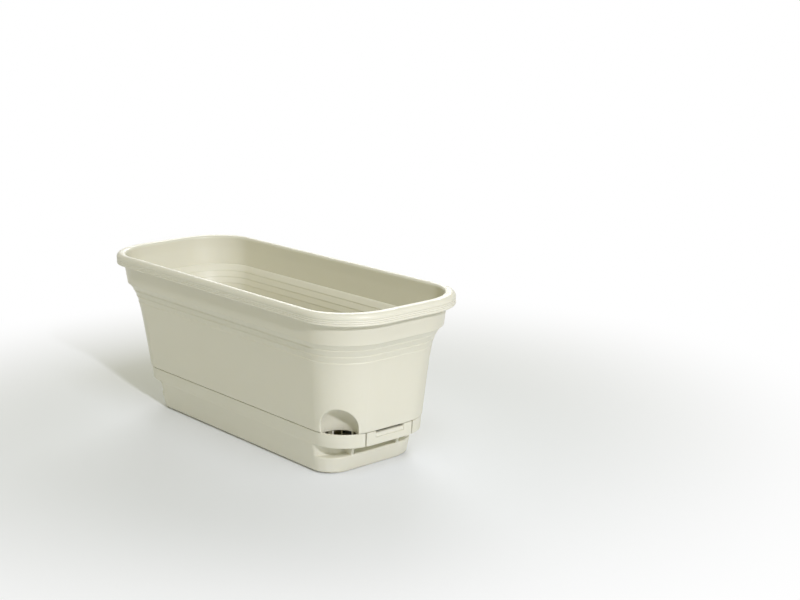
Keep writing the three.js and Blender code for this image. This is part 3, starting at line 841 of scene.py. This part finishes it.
def tray_ys():
    """Where the tray's rings are cut across the ends: twice at each edge of a rib or slit."""
    rib_in, rib_out = POCKET_RIB_Y - POCKET_RIB_HALF, POCKET_RIB_Y + POCKET_RIB_HALF
    slit = TAB_HALF_WIDTH + SLIT
    ys = [0, 7, 14, 20, rib_in - STEP_WIDTH, rib_in, POCKET_RIB_Y]
    ys += [slit - STEP_WIDTH, slit, rib_out, rib_out + STEP_WIDTH, 29.5]
    return [-y for y in ys[1:]] + ys


def lower_rows(columns):
    """The lower body's rings, from inside the foot up to the pockets' brow."""
    hollow = 1.6 + FOOT_WIDTH
    rows = [tray_ring(columns, hollow + 0.6, 1.0), tray_ring(columns, hollow, 0.8)]
    rows.append(tray_ring(columns, hollow - 0.3, 0.0))
    rows += [foot_ring(columns, *row) for row in FOOT_ROWS]
    rows += [tray_ring(columns, 0, z) for z in steps(4, SHOULDER_Z - 1.6, 5)]
    rows += [tray_ring(columns, 0, SHOULDER_Z - drop, share) for share, drop in SHOULDER_ROWS]
    for z in steps(SHOULDER_Z + 1.5, BAND_FOOT_Z - 0.9, 5):
        rows.append(tray_ring(columns, 0, z, 1.0))
    return rows


def brow_rows(columns):
    """The step out from the lower body to the band."""
    rows = [
        tray_ring(columns, -0.2, BAND_FOOT_Z - 0.2, 0.99),
        tray_ring(columns, -0.9, BAND_FOOT_Z - 0.05, 0.96),
        band_ring(columns, 0.5, BAND_FOOT_Z),
        band_ring(columns, 0.12, BAND_FOOT_Z + 0.15),
    ]
    merge_sides(rows)
    return rows


def band_rows(columns):
    """The band's face, its top edge and its inside, down to the flange."""
    rows = [band_ring(columns, 0.0, BAND_FOOT_Z + 0.55)]
    rows += [band_ring(columns, 0, z) for z in steps(BAND_FOOT_Z + 1.5, BAND_TOP_Z - 1.2, 5)]
    for c, s in arc_rows(3, 0, 90):
        rows.append(band_ring(columns, 0.35 * (1 - c), BAND_TOP_Z - 0.35 * (1 - s)))
    rows.append(band_ring(columns, BAND_WALL - 0.4, BAND_TOP_Z))
    rows.append(band_ring(columns, BAND_WALL, BAND_TOP_Z - 0.4))
    for z in steps(BAND_TOP_Z - 2, FLANGE_TOP_Z + 0.6, 3):
        rows.append(band_ring(columns, BAND_WALL, z))
    rows.append(band_ring(columns, BAND_WALL + 0.6, FLANGE_TOP_Z))
    return rows


def water_rows(columns):
    """The water space, from the flange past the pockets' shelf to the tray's floor."""
    back = POCKET_BACK
    shelf = SHOULDER_Z - TRAY_WALL
    rows = [water_ring(columns, TRAY_WALL - 0.5, FLANGE_TOP_Z, back)]
    rows.append(water_ring(columns, TRAY_WALL, FLANGE_TOP_Z - 0.5, back))
    rows += [water_ring(columns, TRAY_WALL, z, back) for z in steps(30, shelf + 0.6, 5)]
    rows.append(water_ring(columns, TRAY_WALL, shelf, back + 0.6))
    rows.append(water_ring(columns, TRAY_WALL + 0.3, shelf - 0.1))
    for z in steps(shelf - 0.6, TRAY_FLOOR_Z + TRAY_ROUND, 3):
        rows.append(water_ring(columns, TRAY_WALL, z))
    for c, s in arc_rows(4, 20, 90):
        inset, rise = TRAY_ROUND * (1 - c), TRAY_ROUND * (1 - s)
        rows.append(water_ring(columns, TRAY_WALL + inset, TRAY_FLOOR_Z + rise))
    return rows


def make_tray(material):
    """The tray as one skin, from inside its foot over the band to its floor."""
    columns = Columns(tray_ys(), 14)
    rows = lower_rows(columns) + brow_rows(columns) + band_rows(columns) + water_rows(columns)
    bm = bmesh.new()
    made = add_rings(bm, rows)
    add_cap(bm, made[0])
    add_cap(bm, made[-1])
    add_object("tray_shell", bm, material, "tray", "reservoir_tray")


def tab_ys():
    """Where a tab is cut: evenly, and closely at the notch's ends and at its own edges."""
    ys = [TAB_HALF_WIDTH * k / 20 for k in range(-20, 21)]
    for side in (-1, 1):
        ys += [side * (NOTCH_HALF_WIDTH + k * 0.1) for k in (-2, -1, 0, 1, 2)]
        ys += [side * (TAB_HALF_WIDTH - k) for k in (0.06, 0.2, 0.45, 0.8)]
    return ys


def tab_row(columns, end, offset, z):
    """A line across a tab, along the band's face and round the tab's lower corners."""
    ring = box_ring(columns, JOINT_INSET, BAND_SETBACK + offset + band_taper(z), z)
    points = [Vector((end * p.x, p.y, p.z)) for p in ring[: len(columns.end_ys)]]
    for p in points:
        past = max(0.0, abs(p.y) - TAB_HALF_WIDTH + TAB_CORNER)
        lift = TAB_CORNER - math.sqrt(max(0.0, TAB_CORNER ** 2 - past ** 2))
        p.z = max(p.z, BAND_FOOT_Z + lift)
    return points


def notch_rows():
    """The top of a tab as pairs of (offset, drop): through the groove and notch, and beside it."""
    foot = NOTCH_FOOT_DROP
    cut = [(0.0, foot + 1.4), (0.7, foot + 1.2), (0.7, foot + 0.5)]
    cut += [(-0.15, foot + 0.3), (-0.15, foot), (NOTCH_BEVEL_DEPTH, NOTCH_DROP + 0.1)]
    cut += [(NOTCH_BEVEL_DEPTH + 0.2, NOTCH_DROP), (BAND_WALL, NOTCH_DROP)]
    plain = [(0.0, foot + over) for over in (1.4, 1.1, 0.6, 0.3, 0.0)]
    plain += [(0.0, 0.35), (0.35, 0.0), (BAND_WALL, 0.0)]
    return list(zip(cut, plain))


def make_tab(material, name, node, body, end):
    """A latch tab: its face follows the band, with a bevelled notch in its top edge."""
    columns = Columns(tab_ys(), 4)

    def row(offset, z):
        return tab_row(columns, end, offset, z)

    faces = [row(BAND_WALL, BAND_FOOT_Z), row(0.5, BAND_FOOT_Z)]
    faces += [row(0.12, BAND_FOOT_Z + 0.15), row(0, BAND_FOOT_Z + 0.55)]
    faces += [row(0, z) for z in steps(BAND_FOOT_Z + 1.7, BAND_TOP_Z - NOTCH_FOOT_DROP - 2.2, 3)]
    for (cut_offset, cut_drop), (offset, drop) in notch_rows():
        cut = row(cut_offset, BAND_TOP_Z - cut_drop)
        whole = row(offset, BAND_TOP_Z - drop)
        mixed = []
        for p, q in zip(cut, whole):
            share = soft_step(abs(q.y), NOTCH_HALF_WIDTH - 0.2, NOTCH_HALF_WIDTH + 0.2)
            mixed.append(p.lerp(q, share))
        faces.append(mixed)
    faces += [row(BAND_WALL, z) for z in steps(41.5, BAND_FOOT_Z + 1, 3)]
    bm = bmesh.new()
    add_strip(bm, [list(profile) for profile in zip(*faces)])
    add_strip(bm, latch_bar(CATCH_PROFILE, end))
    add_object(name, bm, material, body, node)


# ---- The soil platform and the wick cups -------------------------------------------------------


def slot_fits(x, y):
    """Whether the platform has a slot here, clear of its cups, legs, edge and niche."""
    half = PLATE_SLOT[0] / 2

    def clear(cx, cy, radius):
        return math.hypot(max(0.0, abs(x - cx) - half), y - cy) > radius

    if not all(clear(end * CUP_X, 0, CUP_FLANGE[0] + 3) for end in (-1, 1)):
        return False
    if not all(clear(leg, math.copysign(LEG_Y, y), LEG_RADIUS + 2) for leg in LEG_XS):
        return False
    corner = math.hypot(
        max(0.0, abs(x) + half + 2 - (RIM_HALF_LENGTH - JOINT_INSET[0] - JOINT_RADIUS)),
        max(0.0, abs(y) - (RIM_HALF_WIDTH - JOINT_INSET[1] - JOINT_RADIUS)),
    )
    inside = corner < JOINT_RADIUS - WALL - PLATE_GAP - 2
    return inside and clear(NICHE_X, NICHE_Y, NICHE_RADIUS + WALL + PLATE_GAP + 3)


def plate_outline(columns, grow):
    """The platform's edge, set back by grow, with the bite that clears the niche."""
    ring = box_ring(columns, body_inset(PLATE_FOOT_Z), WALL + PLATE_GAP + grow, NICHE_SPRING_Z)
    return dent(ring, NICHE_RADIUS + WALL + PLATE_GAP + grow, NICHE_INNER_LIP)


def plate_holes(grow):
    """The platform's cup holes and slots, widened by grow, as closed lines of points."""
    holes = [cup_hole_outline(end, CUP_HOLE_RADIUS + grow) for end in (-1, 1)]
    radius = PLATE_SLOT[1] / 2 + grow
    reach = (PLATE_SLOT[0] - PLATE_SLOT[1]) / 2
    for column in range(-7, 8):
        for row in range(-4, 5):
            x, y = column * PLATE_PITCH[0], row * PLATE_PITCH[1]
            if slot_fits(x, y):
                holes.append(slot_outline(x, y, reach, radius))
    return [[Vector((x, y, 0)) for x, y in ring] for ring in holes]


def plate_levels():
    """The platform's edge from its underside to its top, as (set-back, z)."""
    low, high = PLATE_FOOT_Z + PLATE_EDGE, PLATE_TOP_Z - PLATE_EDGE
    rows = [(PLATE_EDGE, PLATE_FOOT_Z), (0, low), (0, high)]
    return rows + [(PLATE_EDGE * 0.3, PLATE_TOP_Z - PLATE_EDGE * 0.3), (PLATE_EDGE, PLATE_TOP_Z)]


def add_leg(bm, x, y):
    """A round leg with a softened foot, flared out where it meets the plate."""
    rows = [(LEG_RADIUS - 0.8, LEG_FOOT_Z), (LEG_RADIUS - 0.4, LEG_FOOT_Z + 0.4)]
    rows += [(LEG_RADIUS, PLATE_FOOT_Z - 0.8), (LEG_RADIUS + 0.8, PLATE_FOOT_Z)]
    rows.append((LEG_RADIUS + 0.8, PLATE_FOOT_Z + 0.8))
    circle = arc_rows(20, 0, 342)
    add_strip(bm, [[Vector((x + r * c, y + r * s, z)) for c, s in circle] for r, z in rows])


def make_platform(material):
    """The perforated plate with softened edges, on eight legs."""
    columns = Columns(BOX_YS, 16, niche_finer=5)
    bm = bmesh.new()
    levels = []
    for grow, z in plate_levels():
        loops = [plate_outline(columns, grow)] + plate_holes(grow)
        levels.append([[bm.verts.new((p.x, p.y, z)) for p in loop] for loop in loops])
    for low, high in zip(levels, levels[1:]):
        for a, b in zip(low, high):
            join_loops(bm, a, b)
    fill_between(bm, levels[0])
    fill_between(bm, levels[-1])
    for x in LEG_XS:
        for y in (-LEG_Y, LEG_Y):
            add_leg(bm, x, y)
    add_object("platform_plate", bm, material, "platform", "soil_platform", slot="insert")


def cup_row(x, radius, z, slot_end=0):
    """A ring of a cup. At slot_end 1 or -1 it goes round the slots' upper or lower ends."""
    points = []
    for slot in range(CUP_SLOTS):
        middle = (slot + 0.5) * 2 * math.pi / CUP_SLOTS
        edge = math.asin(CUP_SLOT_HALF / radius)
        for k in range(CUP_ACROSS):
            lateral = CUP_SLOT_HALF * math.sin(math.pi * (k / (CUP_ACROSS - 1) - 0.5))
            angle = middle + math.asin(lateral / radius)
            rise = slot_end * math.sqrt(max(0.0, CUP_SLOT_HALF ** 2 - lateral ** 2))
            points.append((angle, z + rise))
        for k in range(1, CUP_BETWEEN):
            step = (2 * math.pi / CUP_SLOTS - 2 * edge) / CUP_BETWEEN
            points.append((middle + edge + k * step, z))
    return [Vector((x + radius * math.cos(a), radius * math.sin(a), z)) for a, z in points]


def cup_radius(z):
    """The cup's outer radius at one height."""
    share = (z - CUP_FOOT[1]) / (CUP_TOP[1] - CUP_FOOT[1])
    return CUP_FOOT[0] + (CUP_TOP[0] - CUP_FOOT[0]) * share


def cup_profile():
    """The cup from its foot up, over its flange and down inside, as (radius, z, slot end)."""
    foot_radius, foot = CUP_FOOT
    top_radius, neck = CUP_TOP
    flange, top = CUP_FLANGE
    low, high = CUP_SLOT_ENDS[0] + CUP_SLOT_HALF, CUP_SLOT_ENDS[1] - CUP_SLOT_HALF
    rows = [(foot_radius - 1.2, foot, 0), (foot_radius - 0.3, foot + 0.3, 0)]
    rows += [(cup_radius(7), 7, 0), (cup_radius(low), low, -1), (cup_radius(high), high, 1)]
    rows += [(cup_radius(z), z, 0) for z in (34, 45, neck - 0.8)]
    rows += [(top_radius + 0.8, neck, 0), (flange - 0.5, neck, 0), (flange, neck + 0.5, 0)]
    rows += [(flange, top - 0.7, 0), (flange - 0.2, top - 0.2, 0), (flange - 0.7, top, 0)]
    rows += [(top_radius - CUP_WALL + 0.8, top, 0), (top_radius - CUP_WALL + 0.2, top - 0.2, 0)]
    rows += [(cup_radius(z) - CUP_WALL, z, 0) for z in (top - 0.9, 45, 34)]
    rows += [(cup_radius(high) - CUP_WALL, high, 1), (cup_radius(low) - CUP_WALL, low, -1)]
    return rows + [(foot_radius - CUP_WALL - 1.2, foot + CUP_WALL, 0)]


def add_slot_sides(bm, out_low, out_high, in_high, in_low):
    """The faces through the wall round every slot, between the rings at its ends."""
    for slot in range(CUP_SLOTS):
        first = slot * CUP_PERIOD
        last = first + CUP_ACROSS - 1
        for i in range(first, last):
            bm.faces.new((out_low[i], out_low[i + 1], in_low[i + 1], in_low[i]))
            bm.faces.new((out_high[i], out_high[i + 1], in_high[i + 1], in_high[i]))
        for i in (first, last):
            bm.faces.new((out_low[i], out_high[i], in_high[i], in_low[i]))


def make_cup(material, name, node, body, x):
    """A tapered wick cup with a rolled flange and eight round-ended slots."""
    bm = bmesh.new()
    profile = cup_profile()
    rows = [[bm.verts.new(p) for p in cup_row(x, *row)] for row in profile]
    slot_rows = [k for k, row in enumerate(profile) if row[2]]
    count = len(rows[0])
    for k, (a, b) in enumerate(zip(rows, rows[1:])):
        open_row = k in (slot_rows[0], slot_rows[2])
        for i in range(count):
            if not (open_row and i % CUP_PERIOD < CUP_ACROSS - 1):
                bm.faces.new((a[i], a[(i + 1) % count], b[(i + 1) % count], b[i]))
    add_slot_sides(bm, *(rows[k] for k in slot_rows))
    for ring in (rows[0], rows[-1]):
        centre = bm.verts.new((x, 0, ring[0].co.z))
        for i in range(count):
            bm.faces.new((ring[i], ring[(i + 1) % count], centre))
    add_object(name, bm, material, body, node, slot="insert")


# ---- Everything together -----------------------------------------------------------------------

make_camera()
make_world()
make_floor()
for lamp in LAMPS:
    make_area_light(*lamp)

shell = moulded_plastic("cream_plastic", (0.77, 0.755, 0.645), (0.795, 0.775, 0.66))
insert = moulded_plastic("insert_plastic", (0.74, 0.72, 0.61), (0.77, 0.745, 0.63), 0.42)
make_box(shell)
make_skirt(shell)
make_tray(shell)
make_tab(shell, "tab_right", "latch_tab_right", "right_tab", 1)
make_tab(shell, "tab_left", "latch_tab_left", "left_tab", -1)
make_platform(insert)
make_cup(insert, "cup_right", "wick_cup_right", "right_cup", CUP_X)
make_cup(insert, "cup_left", "wick_cup_left", "left_cup", -CUP_X)

scene = bpy.context.scene
scene.view_settings.view_transform = "Standard"
scene.view_settings.look = "None"
